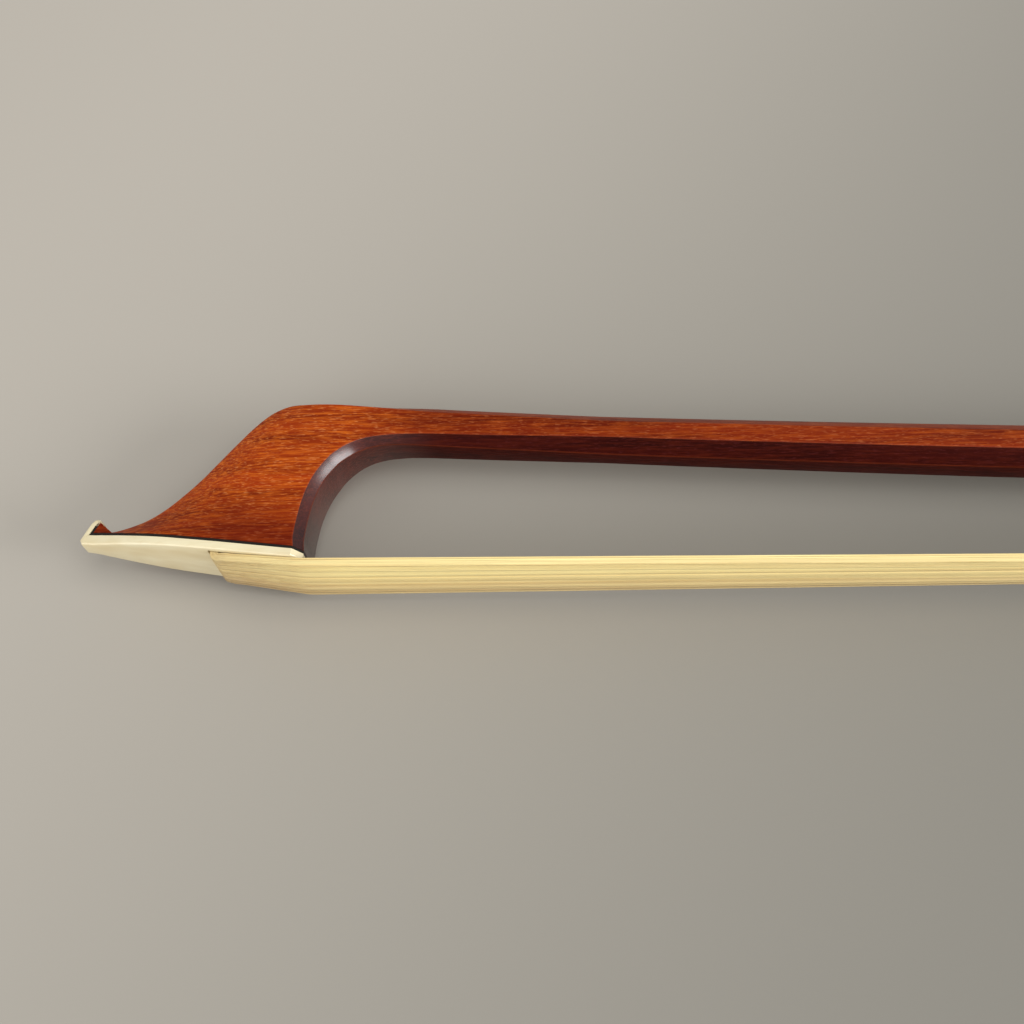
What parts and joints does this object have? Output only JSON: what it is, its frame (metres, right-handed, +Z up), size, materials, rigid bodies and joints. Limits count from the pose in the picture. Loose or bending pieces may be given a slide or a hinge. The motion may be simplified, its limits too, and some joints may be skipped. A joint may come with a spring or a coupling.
{
  "type": "cello bow",
  "caption": "Octagonal cello bow with bone-tipped head, white hair, leather grip, sliding ebony frog with silver fittings and a turning screw button.",
  "frame": {"origin": "centre of the bow's box in plan, on the surface that it lies on with its side down", "axes": "+X along the stick from the head to the button, +Y from the hair to the stick, +Z up across the bow"},
  "size_m": [0.716, 0.0304, 0.0145],
  "materials": {
    "pernambuco": "polished reddish brown pernambuco with fine grain",
    "ebony": "polished ebony",
    "bone": "polished white bone",
    "plug_wood": "bare maple",
    "hair": "rosined white horse hair",
    "burnt_hair": "singed and sealed hair ends",
    "thread": "white linen thread",
    "leather": "dark grained leather",
    "silver": "polished silver",
    "steel": "plain steel",
    "brass": "plain brass",
    "pearl": "mother of pearl"
  },
  "bodies": {
    "stick": {"stick": "pernambuco", "tip_plate": "bone", "tip_liner": "ebony", "tip_plug": "plug_wood", "tip_knot_thread": "thread", "tip_knot": "burnt_hair", "tip_hair": "hair", "hair_ribbon": "hair", "wire_winding": "silver", "thumb_leather": "leather"},
    "frog": {"frog_body": "ebony", "frog_liner": "silver", "liner_screw_front": "steel", "liner_screw_back": "steel", "frog_eyelet": "brass", "ferrule": "silver", "ferrule_wedge": "plug_wood", "slide_pearl": "pearl", "slide_base": "ebony", "frog_hair": "hair", "frog_plug": "plug_wood", "frog_knot_thread": "thread", "frog_knot": "burnt_hair", "heel_plate_lower": "silver", "heel_plate_upper": "silver", "heel_pin_lower": "silver", "heel_pin_middle": "silver", "heel_pin_upper": "silver", "eye_pearl_left": "pearl", "eye_ring_left": "silver", "eye_pearl_right": "pearl", "eye_ring_right": "silver"},
    "button": {"button_screw": "steel", "button_core": "ebony", "button_collar_front": "silver", "button_collar_back": "silver", "button_pearl": "pearl"}
  },
  "joints": [
    {"name": "frog_slide", "type": "slide", "parent": "stick", "child": "frog", "axis": [1, 0, 0], "range_m": [-0.006, 0.002], "deforming": ["hair_ribbon"]},
    {"name": "button_turn", "type": "hinge", "parent": "stick", "child": "button", "pos_m": [0.342, 0.00978, 0.00725], "axis": [-1, 0, 0], "range_deg": [-3086, 1029]}
  ],
  "couplings": [
    {"joint": "button_turn", "follows": "frog_slide", "rad_per_m": 8976}
  ]
}
